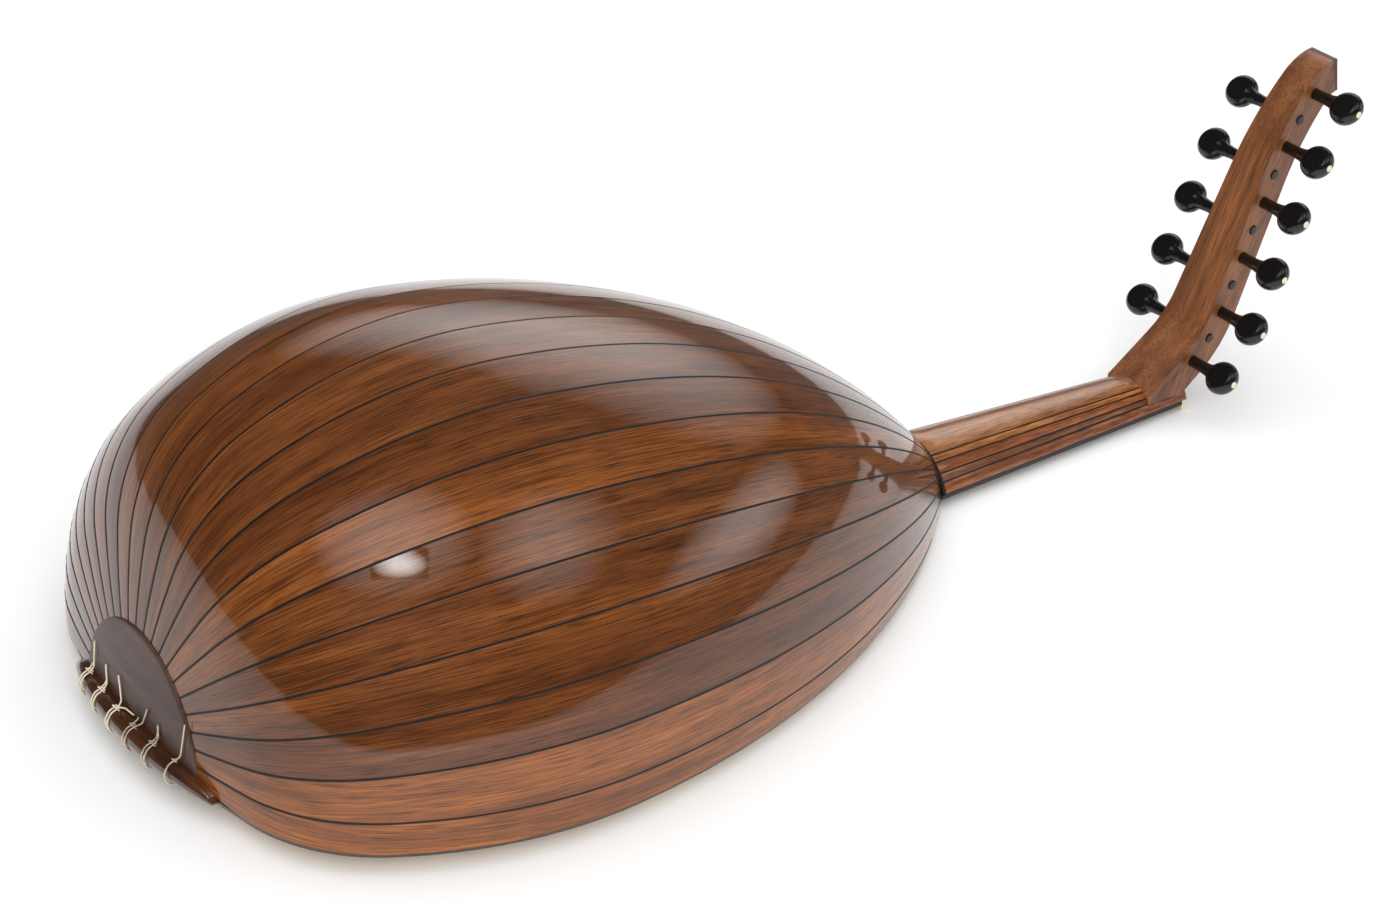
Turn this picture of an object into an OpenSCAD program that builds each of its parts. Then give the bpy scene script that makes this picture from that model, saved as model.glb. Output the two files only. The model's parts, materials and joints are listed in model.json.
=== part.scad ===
// Oud (short-necked lute) lying face down, as an assembly of separate wooden pieces.
// Every piece is drawn in the instrument's own frame: +X from tail to neck, +Y to the treble side,
// +Z from the soundboard's outer face (z = 0) up into the bowl. resting() then lays the whole
// instrument on its bridge and nut, with the origin at the middle of its footprint.

/* [Bowl] */
// Length of the soundboard from the tail to the neck joint
body_l = 500; // [460:5:520]
// Number of ribs in the bowl
rib_count = 21; // [15:2:21]
// Thickness of a rib
rib_t = 2.5; // [2:0.5:4]
// Thickness of the black line between two ribs
purfling_t = 1.2; // [0.6:0.1:1.4]
// Height of the bowl's long axis over the soundboard face at the tail
axis_tail_z = 9; // [4:1:12]
// Height of the bowl's long axis over the soundboard face at the neck joint
axis_neck_z = -4; // [-5:1:2]

/* [Soundboard] */
// Thickness of the soundboard
board_t = 2; // [1.6:0.2:2.6]
// Width of the edge binding
binding_w = 2.5; // [2:0.5:4]
// Diameter of the large sound hole
rose_d = 96; // [84:2:104]
// Diameter of each small sound hole
small_rose_d = 38; // [30:2:44]
// Distance from the tail to the middle of the large sound hole
rose_x = 305; // [290:5:320]
// Distance from the tail to the middle of the small sound holes
small_rose_x = 212; // [200:2:220]
// Distance of each small sound hole from the centre line
small_rose_y = 84; // [76:2:90]

/* [Neck] */
// Length of the neck from the bowl to the nut
neck_l = 201; // [190:1:210]
// Radius of the neck's back at the bowl
neck_joint_r = 33.8; // [32:0.1:35]
// Radius of the neck's back at the nut
neck_nut_r = 19.6; // [18.5:0.1:20.5]
// Thickness of the fingerboard
board_ebony_t = 3; // [2.5:0.5:5]
// Thickness of the veneer staves on the neck's back
stave_t = 1.2; // [1:0.1:1.6]

/* [Strings] */
// Distance from the tail to the middle of the bridge
bridge_x = 95; // [85:1:105]
// Height of the bridge
bridge_h = 10.9; // [10:0.1:12]
// Distance between the outer courses at the bridge
bridge_spread = 76; // [70:1:80]
// Distance between the outer courses at the nut
nut_spread = 29; // [27:0.5:30]
// Distance between the outer courses at the tail bar
tail_spread = 94; // [84:2:98]
// Distance between the two strings of a course
pair_gap = 2.4; // [2.2:0.1:3]
// Diameter of a string
string_d = 0.9; // [0.7:0.05:1]

/* [Pegbox] */
// Depth of the pegbox from its back to its open front
pegbox_depth = 21; // [19:0.5:23]
// Thickness of a cheek
cheek_t = 5; // [4:0.5:6]
// Number of pegs
peg_count = 11; // [9:2:11]
// Distance between neighbouring pegs along the pegbox
peg_pitch = 17.9; // [17:0.1:18]
// Radius of a peg at the cheek where it enters
peg_r = 3.5; // [3.2:0.1:4]
// Diameter of a peg's head
head_d = 21; // [18:0.5:23]

/* [Hidden] */
arc_fn = 360;
bend_step = 3;
round_fn = 48;
slack = 0.3;
far = 400;

// The bowl's outline as stretches of [length, clockwise turn], from the tail round to the neck
outline_shape = [[98.3, 12.6], [75.7, 48.2], [131.2, 33.4], [362, 42.85]];
outline_unit = 500;
outline_start = [0, 0];
outline_heading = 90;
outline = [for (s = outline_shape) [s[0] * body_l / outline_unit, s[1]]];
tail_r = stretch_r(outline[0]);
rib_step = 9 * 21 / rib_count;
rib_tip_r = 8;
bowl_tilt = atan((axis_tail_z - axis_neck_z) / body_l);

// Neck: a straight cone whose axis lies in front of the soundboard face and comes nearer to it at the nut
neck_axis_joint_z = -9;
neck_axis_nut_z = -2.4;
ring_t = 2.2;
ring_out = 1.2;
nut_x = body_l + neck_l;
nut_w = 4;
nut_h = 4;
neck_end_x = nut_x + nut_w;
neck_run = neck_end_x - body_l;
neck_tilt = -atan((neck_axis_nut_z - neck_axis_joint_z) / neck_run);
stave_edges = [33, 42, 54, 63, 117, 126, 138, 147];
stave_line = 1;
seat_z = 8;
seat_x = nut_x - 29;
tongue_l = 38;

// Pegbox: the middle line of its side view, as stretches of [length, clockwise turn]
pegbox_start = [nut_x - 24.8, 2.7];
pegbox_heading = 38;
pegbox_line = [[40, 0], [36, -30.5], [85, 0], [60, 18.5], [15, 35.5]];
pegbox_l = 236;
pegbox_foot_w = 19;
pegbox_taper = 0.04;
back_t = 4;
heel_l = 28;
tip_l = 10;
cap_t = 2.4;
front_o = -pegbox_depth / 2;
back_o = pegbox_depth / 2;

// Pegs
first_peg_s = 40;
peg_back = 1.5;
peg_taper = 0.9 / 50;
peg_fit = 0.05;
head_out = 26;
head_t = 12.5;
head_turn = 45;
collar_l = 6;
peg_ring_l = 1.5;
peg_ring_out = 0.4;
winding_gap = 0.75;
bearing_peg = 2;
bearing_gap = 0.6;

// Tail bar and tail cap
bar_half_l = 74;
bar_bend_r = 300;
bar_w = 10;
bar_h = 12;
bar_hole_r = 0.9;
cap_disc_r = 59.5;
tail_cap_t = 1.5;
glue = 0.1;

// Strings: the bass string is single and the other courses are pairs
course_count = 6;
string_count = 2 * course_count - 1;
string_bridge_z = -9.3;
string_nut_z = -2.7;
string_tail_z = -1.1;
string_sides = 8;
notch_w = 1.8;
notch_room = 0.3;
nut_pair = 2.1;
pegbox_pair = 1.8;
string_bow = 0.7;
wound_strings = 5;

// Resting pose: the bridge's top and the nut's top both touch the ground
bridge_air = 0.15;
bridge_top_z = -(bridge_h + bridge_air);
rest_tilt = atan((nut_h + bridge_top_z) / (bridge_x - nut_x - nut_w / 2));
rest_lift = bridge_x * sin(rest_tilt) - bridge_top_z * cos(rest_tilt);
tip = path_point(pegbox_line, pegbox_start, pegbox_heading, pegbox_l + cap_t);
tip_corner = tip[0] + front_o * side(tip[1]);
high_x = tip_corner[0] * cos(rest_tilt) + tip_corner[1] * sin(rest_tilt);
bar_front = max([for (n = [0:string_count - 1]) bar_reach(string_y(n, tail_spread, pair_gap))]);
low_x = -(bar_front + string_bow + string_d / 2) * cos(rest_tilt);
rest_x = -(high_x + low_x) / 2;

function two(n) = n < 10 ? str("0", n) : str(n);
function rib_name(k) = str("rib_", two(k + 1));
function peg_name(k) = str("peg_", two(k + 1));

// ---- Paths of straight and round stretches in a plane ----

// Unit vector along a heading, and the one to its left
function along(h) = [cos(h), sin(h)];
function side(h) = [-sin(h), cos(h)];

// Signed radius of a stretch: positive where it turns clockwise
function stretch_r(s) = s[0] * 180 / PI / s[1];
function stretch_mid(p, h, s) = p - stretch_r(s) * side(h);
function stretch_end(p, h, s) = s[1] == 0
    ? p + s[0] * along(h)
    : stretch_mid(p, h, s) + stretch_r(s) * side(h - s[1]);

// Where each stretch starts, as [point, heading], with the path's end as the last entry
function path_starts(path, p, h) =
    [for (i = 0, q = p, a = h; i <= len(path);
        q = i < len(path) ? stretch_end(q, a, path[i]) : q,
        a = i < len(path) ? a - path[i][1] : a,
        i = i + 1) [q, a]];

// The point and heading at distance d along a path
function path_point(path, p, h, d, i = 0) = d <= path[i][0] || i == len(path) - 1
    ? [stretch_end(p, h, part_of(path[i], d)), h - part_of(path[i], d)[1]]
    : path_point(path, stretch_end(p, h, path[i]), h - path[i][1], d - path[i][0], i + 1);
function part_of(s, d) = [d, s[1] * d / s[0]];

// Half width of the outline at distance x from the tail
function outline_y(x, i = 0, p = outline_start, h = outline_heading) =
    x <= stretch_end(p, h, outline[i])[0] || i == len(outline) - 1
    ? arc_y(stretch_mid(p, h, outline[i]), stretch_r(outline[i]), x)
    : outline_y(x, i + 1, stretch_end(p, h, outline[i]), h - outline[i][1]);
function arc_y(c, r, x) = c[1] + sqrt(r * r - pow(x - c[0], 2));

// Points along a path, moved to the left of travel by an offset, and closer together in its bends
function path_trace(path, p, h, offset_left) = let (starts = path_starts(path, p, h), last = starts[len(path)])
    concat([for (i = [0:len(path) - 1])
        let (n = max(1, ceil(abs(path[i][1]) / bend_step)))
        for (j = [0:n - 1])
            let (s = part_of(path[i], path[i][0] * j / n))
            stretch_end(starts[i][0], starts[i][1], s) + offset_left * side(starts[i][1] - s[1])],
        [last[0] + offset_left * side(last[1])]);
function reversed(list) = [for (i = [len(list) - 1:-1:0]) list[i]];

// A flat band between two offsets to the left of travel
module path_band(path, p, h, low, high) {
    polygon(concat(path_trace(path, p, h, low), reversed(path_trace(path, p, h, high))));
}

// Half of the soundboard's outline, moved in by an inset, down to the centre line
module half_outline(inset) {
    intersection() {
        polygon(concat(path_trace(outline, outline_start, outline_heading, -inset),
            [[body_l + far, 0], [inset, 0]]));
        translate([0, -1]) square([body_l, far]);
    }
}

module full_outline(inset) {
    half_outline(inset);
    mirror([0, 1]) half_outline(inset);
}

// ---- Placing ----

module resting() {
    translate([rest_x, 0, rest_lift]) rotate([0, rest_tilt, 0]) children();
}

// The bowl's long axis, which runs slightly down towards the neck
module on_bowl_axis() {
    translate([0, 0, axis_tail_z]) rotate([0, bowl_tilt, 0]) children();
}

module on_neck_axis() {
    translate([body_l, 0, neck_axis_joint_z]) rotate([0, neck_tilt, 0]) children();
}

// Everything above height z, from x0 to x1
module above(z, x0 = -50, x1 = 900) {
    translate([x0, -far / 2, z]) cube([x1 - x0, far, far]);
}

// ---- Bowl ----

// A plank bent along the outline, centred on the angle a round the bowl's axis
module bent_plank(a, width) {
    rotate([a, 0, 0]) linear_extrude(width, center = true)
        path_band(outline, outline_start, outline_heading, -rib_t, 0);
}

// How far the tail bar's front stands out from the tail at a side place
function bar_reach(y) = sqrt(bar_bend_r * bar_bend_r - y * y) - (bar_bend_r - bar_w - tail_cap_t);

function rib_angle(k) = 90 + (k - (rib_count - 1) / 2) * rib_step;

module rib(k) {
    half = rib_step / 2;
    near_y = rib_tip_r * tan(half) - purfling_t / 2 / cos(half);
    wide_r = 210;
    wide_y = wide_r * tan(half) - purfling_t / 2 / cos(half);
    tone = 0.5 + 0.12 * sin(k * 97);
    color([tone, tone * 0.58, tone * 0.32]) resting() intersection() {
        on_bowl_axis() intersection() {
            bent_plank(rib_angle(k), 2 * wide_y);
            rotate([rib_angle(k), 0, 0]) translate([-10, 0, 0]) rotate([90, 0, 90])
                linear_extrude(body_l + 50) polygon([[rib_tip_r, -near_y], [wide_r, -wide_y],
                    [wide_r, wide_y], [rib_tip_r, near_y]]);
        }
        above(board_t, -10, body_l);
    }
}

module rib_purfling() {
    color([0.07, 0.06, 0.05]) resting() intersection() {
        on_bowl_axis() for (k = [0:rib_count - 2]) {
            a = rib_angle(k) + rib_step / 2;
            intersection() {
                bent_plank(a, purfling_t);
                rotate([a, 0, 0]) translate([-10, rib_tip_r, -5]) cube([body_l + 50, 210, 10]);
            }
        }
        above(board_t, -10, body_l);
    }
}

// A ball whose skin lies an offset outside the bowl's tail
module tail_ball(offset_out) {
    on_bowl_axis() translate([tail_r, 0, 0]) sphere(r = tail_r + offset_out, $fn = arc_fn);
}

module tail_cap() {
    color([0.24, 0.17, 0.14]) resting() difference() {
        intersection() {
            tail_ball(tail_cap_t + glue);
            translate([-10, 0, board_t]) rotate([0, 90, 0]) cylinder(r = cap_disc_r, h = 40, $fn = 120);
            above(slack, -10, 30);
        }
        tail_ball(glue);
    }
}

module tail_bar() {
    sweep = 2 * asin(bar_half_l / bar_bend_r);
    color([0.22, 0.09, 0.05]) resting() difference() {
        translate([bar_bend_r - bar_w - tail_cap_t, 0, 0]) rotate([0, 0, 180 - sweep / 2])
            rotate_extrude(angle = sweep, $fn = arc_fn) {
                translate([bar_bend_r - bar_h / 2, bar_h / 2]) circle(d = bar_h, $fn = round_fn);
                translate([bar_bend_r - 28, 0]) square([28 - bar_h / 2, bar_h]);
            }
        tail_ball(tail_cap_t + 2 * glue);
        for (n = [0:string_count - 1]) translate([-tail_cap_t - 1.6, string_y(n, tail_spread, pair_gap), -1])
            cylinder(r = bar_hole_r, h = bar_h + 2, $fn = 24);
    }
}

module tail_block() {
    color([0.8, 0.68, 0.5]) resting() intersection() {
        tail_ball(-rib_t - glue);
        translate([0, -60, board_t]) cube([26, 120, 58]);
    }
}

module neck_block() {
    block_l = 44;
    wall = rib_t + 0.6;
    color([0.8, 0.68, 0.5]) resting() intersection() {
        on_bowl_axis() translate([body_l - block_l, 0, 0]) rotate([0, 90, 0])
            cylinder(r1 = outline_y(body_l - block_l) - wall, r2 = outline_y(body_l) - wall,
                h = block_l, $fn = 96);
        above(board_t, body_l - block_l, body_l - glue);
    }
}

// ---- Soundboard ----

module soundboard() {
    color([0.87, 0.72, 0.5]) resting() linear_extrude(board_t) difference() {
        full_outline(binding_w);
        translate([rose_x, 0]) circle(d = rose_d, $fn = 120);
        for (y = [-1, 1]) translate([small_rose_x, y * small_rose_y]) circle(d = small_rose_d, $fn = 72);
        tongue_shape(0);
    }
}

module edge_binding() {
    color([0.12, 0.08, 0.06]) resting() linear_extrude(board_t) difference() {
        full_outline(0);
        full_outline(binding_w);
        translate([body_l - 1, binding_w - outline_y(body_l)]) square([2, 2 * (outline_y(body_l) - binding_w)]);
    }
}

module soundboard_braces() {
    places = [45, 128, 170, 250, 358, 400, 438];
    color([0.85, 0.72, 0.52]) resting() for (x = places)
        translate([0, 0, board_t]) linear_extrude(11) intersection() {
            translate([x - 3, -far / 2]) square([6, far]);
            full_outline(rib_t + 2.5);
        }
}

// A pierced rose: a rim, an inner ring and a wreath of interlaced rings
module rose(d, petals) {
    rim = d / 18;
    loop_d = d * 0.46;
    line = d / 40;
    difference() {
        circle(d = d, $fn = 120);
        circle(d = d - 2 * rim, $fn = 120);
    }
    intersection() {
        circle(d = d - rim, $fn = 120);
        for (k = [0:petals - 1]) rotate(360 * k / petals) translate([d * 0.26, 0]) difference() {
            circle(d = loop_d, $fn = round_fn);
            circle(d = loop_d - 2 * line, $fn = round_fn);
        }
    }
    difference() {
        circle(d = d * 0.2, $fn = round_fn);
        circle(d = d * 0.1, $fn = round_fn);
    }
}

module large_rose() {
    color([0.85, 0.78, 0.62]) resting() translate([rose_x, 0, 0.2]) linear_extrude(1.6) rose(rose_d, 10);
}

module small_roses() {
    color([0.85, 0.78, 0.62]) resting() for (y = [-1, 1])
        translate([small_rose_x, y * small_rose_y, 0.2]) linear_extrude(1.6) rose(small_rose_d, 6);
}

module pickguard() {
    guard_r = 78;
    guard_half_w = 27;
    color([0.14, 0.08, 0.06]) resting() translate([168, 0, -0.8]) linear_extrude(0.8) intersection() {
        translate([0, guard_r - guard_half_w]) circle(r = guard_r, $fn = arc_fn);
        translate([0, guard_half_w - guard_r]) circle(r = guard_r, $fn = arc_fn);
    }
}

// The bridge stands on two feet and carries the strings in notches
module bridge() {
    half_l = 48;
    foot = 14;
    arch_z = -3.4;
    color([0.2, 0.1, 0.06]) resting() difference() {
        translate([bridge_x, 0, 0]) rotate([90, 0, 0]) linear_extrude(2 * half_l, center = true)
            polygon([[-6, -bridge_air], [6, -bridge_air], [2, bridge_top_z], [-2, bridge_top_z]]);
        for (y = [-1, 1]) translate([bridge_x - 10, y * half_l / 2 - (half_l - foot) / 2 - y * (foot - 9) / 2, arch_z])
            cube([20, half_l - foot, 10]);
        for (n = [0:string_count - 1])
            translate([bridge_x - 10, string_y(n, bridge_spread, pair_gap) - notch_w / 2, bridge_top_z - 1])
                cube([20, notch_w, string_bridge_z - bridge_top_z + 1 + string_d + notch_room]);
    }
}

// ---- Neck ----

module neck_cone(inset) {
    on_neck_axis() rotate([0, 90, 0])
        cylinder(r1 = neck_joint_r - inset, r2 = neck_nut_r - inset, h = neck_run, $fn = 120);
}

// The neck's room: above the fingerboard, past the ring, and outside the pegbox's seat
module neck_room() {
    difference() {
        above(board_ebony_t, body_l + ring_t, neck_end_x);
        above(seat_z, seat_x, nut_x + 60);
    }
}

module neck_ring() {
    color([0.09, 0.07, 0.06]) resting() intersection() {
        on_neck_axis() translate([-5, 0, 0]) rotate([0, 90, 0]) cylinder(r = neck_joint_r + ring_out, h = 10, $fn = 120);
        above(board_ebony_t, body_l, body_l + ring_t);
    }
}

module neck_core() {
    color([0.75, 0.62, 0.45]) resting() intersection() {
        neck_cone(stave_t);
        neck_room();
    }
}

// The neck's veneer layer, before it is cut into staves
module neck_veneer() {
    intersection() {
        difference() {
            neck_cone(0);
            neck_cone(stave_t);
        }
        neck_room();
    }
}

// The thin plane of the black line at an angle round the neck's axis
module line_plane(a) {
    on_neck_axis() rotate([a, 0, 0]) translate([-5, 4, -stave_line / 2]) cube([neck_run + 10, 50, stave_line]);
}

module neck_staves() {
    color([0.5, 0.27, 0.14]) resting() difference() {
        neck_veneer();
        for (a = stave_edges) line_plane(a);
    }
}

module neck_lines() {
    color([0.07, 0.06, 0.05]) resting() intersection() {
        on_neck_axis() for (a = stave_edges) rotate([a, 0, 0]) linear_extrude(stave_line, center = true)
            polygon([[0, neck_joint_r - stave_t], [0, neck_joint_r],
                [neck_run, neck_nut_r], [neck_run, neck_nut_r - stave_t]]);
        neck_room();
    }
}

// Half width of the fingerboard at distance x from the tail
function board_half_w(x) =
    let (f = (x - body_l) / neck_run,
        r = neck_joint_r * (1 - f) + neck_nut_r * f,
        axis_z = neck_axis_joint_z * (1 - f) + neck_axis_nut_z * f)
    sqrt(r * r - (board_ebony_t - axis_z) * (board_ebony_t - axis_z)) + 0.2;

// The pointed tongue of the fingerboard that lies in the soundboard
module tongue_shape(inset) {
    polygon([[body_l - tongue_l + inset, 0], [body_l - tongue_l / 2, inset - 12], [body_l + 1, inset - 22],
        [body_l + 1, 22 - inset], [body_l - tongue_l / 2, 12 - inset]]);
}

module fingerboard() {
    color([0.08, 0.06, 0.05]) resting() {
        linear_extrude(board_ebony_t) polygon([[body_l, -board_half_w(body_l)], [nut_x, -board_half_w(nut_x)],
            [nut_x, board_half_w(nut_x)], [body_l, board_half_w(body_l)]]);
        linear_extrude(board_t) tongue_shape(0);
    }
}

module nut() {
    half_w = board_half_w(nut_x) - 0.2;
    color([0.93, 0.89, 0.78]) resting() difference() {
        translate([nut_x, -half_w, -nut_h]) cube([nut_w, 2 * half_w, nut_h + board_ebony_t]);
        for (n = [0:string_count - 1])
            translate([nut_x - 1, string_y(n, nut_spread, nut_pair) - 0.65, -nut_h - 1])
                cube([nut_w + 2, 1.3, string_nut_z + nut_h + 1 + string_d * 0.75]);
    }
}

// ---- Pegbox ----

function pegbox_half_w(z) = pegbox_foot_w - pegbox_taper * z;

// A band of the pegbox's side view, between offsets from its middle line, over the whole width
module pegbox_band(low, high, room) {
    intersection() {
        rotate([90, 0, 0]) linear_extrude(2 * pegbox_foot_w + 2, center = true)
            path_band(pegbox_line, pegbox_start, pegbox_heading, low, high);
        pegbox_width(room);
        above(seat_z, seat_x, 900);
    }
}

// The room between the pegbox's two tapering sides, each moved in by an inset
module pegbox_width(inset) {
    top = 300;
    rotate([90, 0, 90]) linear_extrude(900) polygon([
        [inset - pegbox_half_w(0), 0], [pegbox_half_w(0) - inset, 0],
        [pegbox_half_w(top) - inset, top], [inset - pegbox_half_w(top), top]]);
}

// A block across the pegbox from distance d0 to d1 along its middle line
module pegbox_slice(d0, d1, low, high) {
    a = path_point(pegbox_line, pegbox_start, pegbox_heading, d0);
    b = path_point(pegbox_line, pegbox_start, pegbox_heading, d1);
    rotate([90, 0, 0]) linear_extrude(60, center = true) polygon([
        a[0] + low * side(a[1]), b[0] + low * side(b[1]), b[0] + high * side(b[1]), a[0] + high * side(a[1])]);
}

module pegbox_back() {
    color([0.5, 0.29, 0.16]) resting() pegbox_band(back_o - back_t, back_o, 0);
}

module cheek(hand) {
    color([0.6, 0.37, 0.24]) resting() difference() {
        intersection() {
            pegbox_band(front_o, back_o - back_t, 0);
            translate([0, hand > 0 ? 0 : -far, 0]) cube([900, far, far]);
        }
        pegbox_width(cheek_t);
        for (k = [0:peg_count - 1]) peg_place(k) peg_shaft(k, peg_fit, 40);
    }
}

module pegbox_heel() {
    color([0.55, 0.33, 0.2]) resting() intersection() {
        pegbox_band(front_o, back_o - back_t, cheek_t);
        pegbox_slice(0, heel_l, -30, 30);
        above(seat_z, seat_x, neck_end_x - 0.5);
    }
}

module pegbox_tip() {
    color([0.55, 0.33, 0.2]) resting() intersection() {
        pegbox_band(front_o, back_o - back_t, cheek_t);
        pegbox_slice(pegbox_l - tip_l, pegbox_l, front_o - 1, back_o);
    }
}

module tip_cap() {
    color([0.2, 0.12, 0.12]) resting() intersection() {
        pegbox_slice(pegbox_l, pegbox_l + cap_t, front_o, back_o);
        pegbox_width(0);
    }
}

// ---- Pegs ----

// A point in the side view that lies in front of a peg's axis by a gap
function peg_front(k, gap) =
    let (q = path_point(pegbox_line, pegbox_start, pegbox_heading, first_peg_s + k * peg_pitch))
    q[0] + (peg_back - gap) * side(q[1]);

// A peg's place in the side view, behind the middle line so that the strings pass in front
function peg_at(k) = peg_front(k, 0);
function peg_hand(k) = k % 2 == 0 ? -1 : 1;

// Puts a peg's own axis, +Z from its head through the pegbox, at its place
module peg_place(k) {
    p = peg_at(k);
    translate([p[0], peg_hand(k) * pegbox_half_w(p[1]), p[1]]) rotate([peg_hand(k) * 90, 0, 0]) children();
}

// The tapered shaft, from before the first cheek to just past the second
module peg_shaft(k, grow, past) {
    before = 18;
    length = before + 2 * pegbox_half_w(peg_at(k)[1]) + past;
    translate([0, 0, -before]) cylinder(r1 = peg_r + before * peg_taper + grow,
        r2 = peg_r + (before - length) * peg_taper + grow, h = length, $fn = round_fn);
}

module peg(k) {
    ball_r = head_d / 2;
    dish_r = 22;
    color([0.04, 0.035, 0.035]) resting() peg_place(k) {
        peg_shaft(k, 0, 0.8);
        translate([0, 0, -head_out + 7]) cylinder(r1 = 5.4, r2 = peg_r + peg_ring_out, h = collar_l, $fn = round_fn);
        translate([0, 0, -head_out + 7 + collar_l]) cylinder(r = peg_r + peg_ring_out, h = peg_ring_l, $fn = round_fn);
        translate([0, 0, -head_out]) rotate([0, 0, peg_hand(k) * head_turn]) intersection() {
            sphere(r = ball_r, $fn = round_fn);
            translate([0, head_t / 2 - dish_r, 0]) sphere(r = dish_r, $fn = 72);
            translate([0, dish_r - head_t / 2, 0]) sphere(r = dish_r, $fn = 72);
        }
    }
}

// ---- Strings ----

// Side place of string n where the outer courses are spread apart
function string_course(n) = n == 0 ? 0 : floor((n + 1) / 2);
function string_y(n, spread, pair) = (string_course(n) / (course_count - 1) - 0.5) * spread
    + (n == 0 ? 0 : (n % 2 == 0 ? 0.5 : -0.5) * pair);

// The strings nearest the middle go to the pegs furthest from the nut
string_order = [0, 2, 4, 6, 8, 10, 9, 7, 5, 3, 1];

// Where a string leaves the nut in the side view, and where it last bends before its peg: the third peg
// carries every string that goes to a peg beyond it
string_exit = [nut_x + nut_w + 0.4, string_nut_z];
function last_bend(n) = string_order[n] > bearing_peg ? peg_front(bearing_peg, peg_r + bearing_gap) : string_exit;

// A string's end: just in front of its winding on the peg
function string_peg_end(n) = let (k = string_order[n], p = peg_at(k), u = unit(p - last_bend(n)),
    q = p + (peg_r + winding_gap) * [u[1], -u[0]],
    lane = string_y(n, 2 * (pegbox_half_w(p[1]) - cheek_t) - 5, pegbox_pair)) [q[0], lane, q[1]];

// The part of a string inside the pegbox, from its place m across the nut
function string_in_pegbox(n, m) = let (bend = last_bend(n), end = string_peg_end(n),
    f = norm(bend - string_exit) / (norm(bend - string_exit) + norm([end[0], end[2]] - bend)))
    bend == string_exit ? [end] : [[bend[0], m + f * (end[1] - m), bend[1]], end];

// A string's own route: round the tail bar, over the bridge and the nut, and into the pegbox
function string_route(n) = let (t = string_y(n, tail_spread, pair_gap), b = string_y(n, bridge_spread, pair_gap),
    m = string_y(n, nut_spread, nut_pair), lean = n % 2 == 0 ? 1.5 : -1.5, h = bar_reach(t),
    back = bar_w + tail_cap_t - h) concat([
    [back - 2.4, t + lean, bar_h + 19],
    [back - 3.6, t + lean / 2, bar_h + 8],
    [-h + 5, t, bar_h + 0.9],
    [-h + 1.8, t, bar_h - 0.4],
    [-h - string_bow, t, bar_h * 0.62],
    [-h - string_bow, t, bar_h * 0.35],
    [-h + 1.6, t, 0.2],
    [-h + 5, t, string_tail_z],
    [3, t, string_tail_z - 0.2],
    [bridge_x - 1.5, b, string_bridge_z],
    [bridge_x + 1.5, b, string_bridge_z],
    [nut_x - 1, m, string_nut_z],
    [string_exit[0], m, string_exit[1]]],
    string_in_pegbox(n, m));

// A tube swept along a route, with one ring of points at each of its corners
function unit(v) = v / norm(v);
function route_way(route, i) = i == 0 ? unit(route[1] - route[0])
    : i == len(route) - 1 ? unit(route[i] - route[i - 1])
    : unit(unit(route[i] - route[i - 1]) + unit(route[i + 1] - route[i]));
function ring(p, way, r) = let (u = unit(cross(way, [0, 1, 0.03])), v = cross(way, u))
    [for (j = [0:string_sides - 1]) p + r * (cos(360 * j / string_sides) * u + sin(360 * j / string_sides) * v)];

module tube(route, r) {
    last = len(route) - 1;
    points = [for (i = [0:last]) each ring(route[i], route_way(route, i), r)];
    walls = [for (i = [0:last - 1], j = [0:string_sides - 1])
        [i * string_sides + j, i * string_sides + (j + 1) % string_sides,
            (i + 1) * string_sides + (j + 1) % string_sides, (i + 1) * string_sides + j]];
    start = [for (j = [string_sides - 1:-1:0]) j];
    finish = [for (j = [0:string_sides - 1]) last * string_sides + j];
    polyhedron(points, concat([start], walls, [finish]));
}

module strings_wound() {
    color([0.72, 0.6, 0.42]) resting() for (n = [0:wound_strings - 1]) tube(string_route(n), string_d / 2);
}

module strings_plain() {
    color([0.92, 0.88, 0.78]) resting() for (n = [wound_strings:string_count - 1])
        tube(string_route(n), string_d / 2);
}

for (k = [0:rib_count - 1]) rib(k);
rib_purfling();
tail_cap();
tail_bar();
tail_block();
neck_block();
soundboard();
edge_binding();
soundboard_braces();
large_rose();
small_roses();
pickguard();
neck_ring();
neck_core();
neck_staves();
neck_lines();
fingerboard();
nut();
bridge();
pegbox_heel();
pegbox_back();
cheek(-1);  // cheek_bass
cheek(1);  // cheek_treble
pegbox_tip();
tip_cap();
for (k = [0:peg_count - 1]) peg(k);
strings_wound();
strings_plain();
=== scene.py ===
"""A studio picture of an oud lying face down: smooth ribs, strings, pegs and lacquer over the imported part."""

import json
import math

import bmesh
import bpy
from mathutils import Matrix, Vector


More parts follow.
